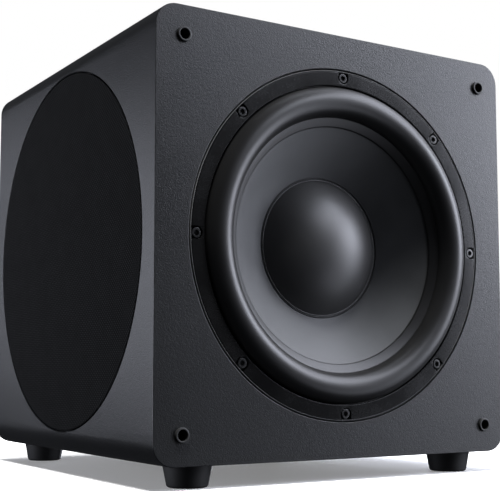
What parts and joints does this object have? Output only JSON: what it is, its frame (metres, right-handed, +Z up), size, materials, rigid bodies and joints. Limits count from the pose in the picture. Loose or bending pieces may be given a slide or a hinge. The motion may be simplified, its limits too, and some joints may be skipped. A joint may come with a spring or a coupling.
{
  "type": "subwoofer",
  "caption": "Cube subwoofer with a front driver, a cloth grille over a passive radiator in each side, rubber feet and a rear amplifier.",
  "frame": {"origin": "on the floor, under the middle of the object", "axes": "+Z up, the driver in the front faces -Y, +X to the right as seen from the front"},
  "size_m": [0.381, 0.398, 0.4],
  "materials": {
    "cabinet_finish": "satin, finely textured charcoal-black paint over fibreboard",
    "raw_board": "bare fibreboard",
    "felt": "loose grey felt",
    "foot_rubber": "matt black rubber",
    "socket_rubber": "satin black rubber",
    "trim_rubber": "satin black moulded rubber",
    "roll_rubber": "smooth satin black rubber",
    "boot_rubber": "matt black rubber",
    "gasket_foam": "closed-cell foam",
    "cone_satin": "satin dark grey coated cone",
    "cap_satin": "satin dark grey dome",
    "cast_frame": "black powder-coated casting",
    "black_steel": "black oxide",
    "zinc_steel": "zinc plated",
    "ferrite": "fired ferrite",
    "former_foil": "foil",
    "coil_wire": "lacquered copper wire",
    "spider_cloth": "resin-stiffened cloth",
    "terminal_plastic": "moulded",
    "lead_sheath": "black sheath",
    "plate_paint": "black painted aluminium",
    "box_steel": "black painted sheet steel",
    "circuit_board": "lacquered laminate with its parts",
    "standoff_brass": "turned",
    "transformer_wrap": "taped ring core",
    "inlet_plastic": "moulded black",
    "jack_metal": "gold plated",
    "housing_plastic": "moulded black",
    "knob_plastic": "moulded black",
    "shaft_metal": "turned",
    "switch_plastic": "moulded black",
    "grille_plastic": "moulded black",
    "grille_fabric": "fine woven black acoustic cloth"
  },
  "bodies": {
    "cabinet": {"amp_board": "circuit_board", "amp_enclosure": "box_steel", "amp_gasket": "gasket_foam", "amp_plate": "plate_paint", "amp_screws": "black_steel", "board_standoffs": "standoff_brass", "bottom_panel": "cabinet_finish", "control_housings": "housing_plastic", "damping_wadding": "felt", "foot_front_left": "foot_rubber", "foot_front_right": "foot_rubber", "foot_rear_left": "foot_rubber", "foot_rear_right": "foot_rubber", "foot_screws": "zinc_steel", "front_baffle": "cabinet_finish", "grille_sockets": "socket_rubber", "left_panel": "cabinet_finish", "left_radiator_frame": "cast_frame", "line_jacks": "jack_metal", "mains_inlet": "inlet_plastic", "mains_transformer": "transformer_wrap", "radiator_screws": "black_steel", "rear_panel": "cabinet_finish", "right_panel": "cabinet_finish", "right_radiator_frame": "cast_frame", "top_panel": "cabinet_finish", "window_brace": "raw_board", "woofer_basket": "cast_frame", "woofer_gasket": "gasket_foam", "woofer_lead": "lead_sheath", "woofer_magnet_boot": "boot_rubber", "woofer_magnets": "ferrite", "woofer_screws": "black_steel", "woofer_tee_nuts": "zinc_steel", "woofer_terminals": "terminal_plastic", "woofer_top_plate": "zinc_steel", "woofer_trim_ring": "trim_rubber", "woofer_yoke": "zinc_steel"},
    "cone_assembly": {"woofer_cone": "cone_satin", "dust_cap": "cap_satin", "voice_coil_former": "former_foil", "voice_coil_winding": "coil_wire", "woofer_surround": "roll_rubber", "woofer_spider": "spider_cloth"},
    "left_radiator": {"left_radiator_cone": "cone_satin", "left_radiator_weight": "zinc_steel", "left_radiator_surround": "roll_rubber"},
    "right_radiator": {"right_radiator_cone": "cone_satin", "right_radiator_weight": "zinc_steel", "right_radiator_surround": "roll_rubber"},
    "left_grille": {"left_grille_frame": "grille_plastic", "left_grille_cloth": "grille_fabric"},
    "right_grille": {"right_grille_frame": "grille_plastic", "right_grille_cloth": "grille_fabric"},
    "level_control": {"level_knob": "knob_plastic", "level_shaft": "shaft_metal"},
    "crossover_control": {"crossover_knob": "knob_plastic", "crossover_shaft": "shaft_metal"},
    "phase_control": {"phase_slider": "switch_plastic"},
    "power_control": {"power_rocker": "switch_plastic"}
  },
  "joints": [
    {"name": "cone_travel", "type": "slide", "parent": "cabinet", "child": "cone_assembly", "axis": [0, -1, 0], "range_m": [-0.012, 0.012], "stiffness_N_per_m": 3700, "deforming": ["woofer_surround", "woofer_spider"]},
    {"name": "crossover_turn", "type": "hinge", "parent": "cabinet", "child": "crossover_control", "pos_m": [-0.038, 0.1905, 0.2835], "axis": [0, -1, 0], "range_deg": [-150, 150]},
    {"name": "left_grille_pull", "type": "slide", "parent": "cabinet", "child": "left_grille", "axis": [-1, 0, 0], "range_m": [0, 0.022]},
    {"name": "left_radiator_travel", "type": "slide", "parent": "cabinet", "child": "left_radiator", "axis": [-1, 0, 0], "range_m": [-0.014, 0.014], "stiffness_N_per_m": 3000, "deforming": ["left_radiator_surround"]},
    {"name": "level_turn", "type": "hinge", "parent": "cabinet", "child": "level_control", "pos_m": [-0.078, 0.1905, 0.2835], "axis": [0, -1, 0], "range_deg": [-150, 150]},
    {"name": "phase_select", "type": "slide", "parent": "cabinet", "child": "phase_control", "axis": [1, 0, 0], "range_m": [0, 0.005]},
    {"name": "power_rock", "type": "hinge", "parent": "cabinet", "child": "power_control", "pos_m": [-0.02, 0.19, 0.1315], "axis": [0, 0, 1], "range_deg": [-16, 0]},
    {"name": "right_grille_pull", "type": "slide", "parent": "cabinet", "child": "right_grille", "axis": [1, 0, 0], "range_m": [0, 0.022]},
    {"name": "right_radiator_travel", "type": "slide", "parent": "cabinet", "child": "right_radiator", "axis": [1, 0, 0], "range_m": [-0.014, 0.014], "stiffness_N_per_m": 3000, "deforming": ["right_radiator_surround"]}
  ]
}
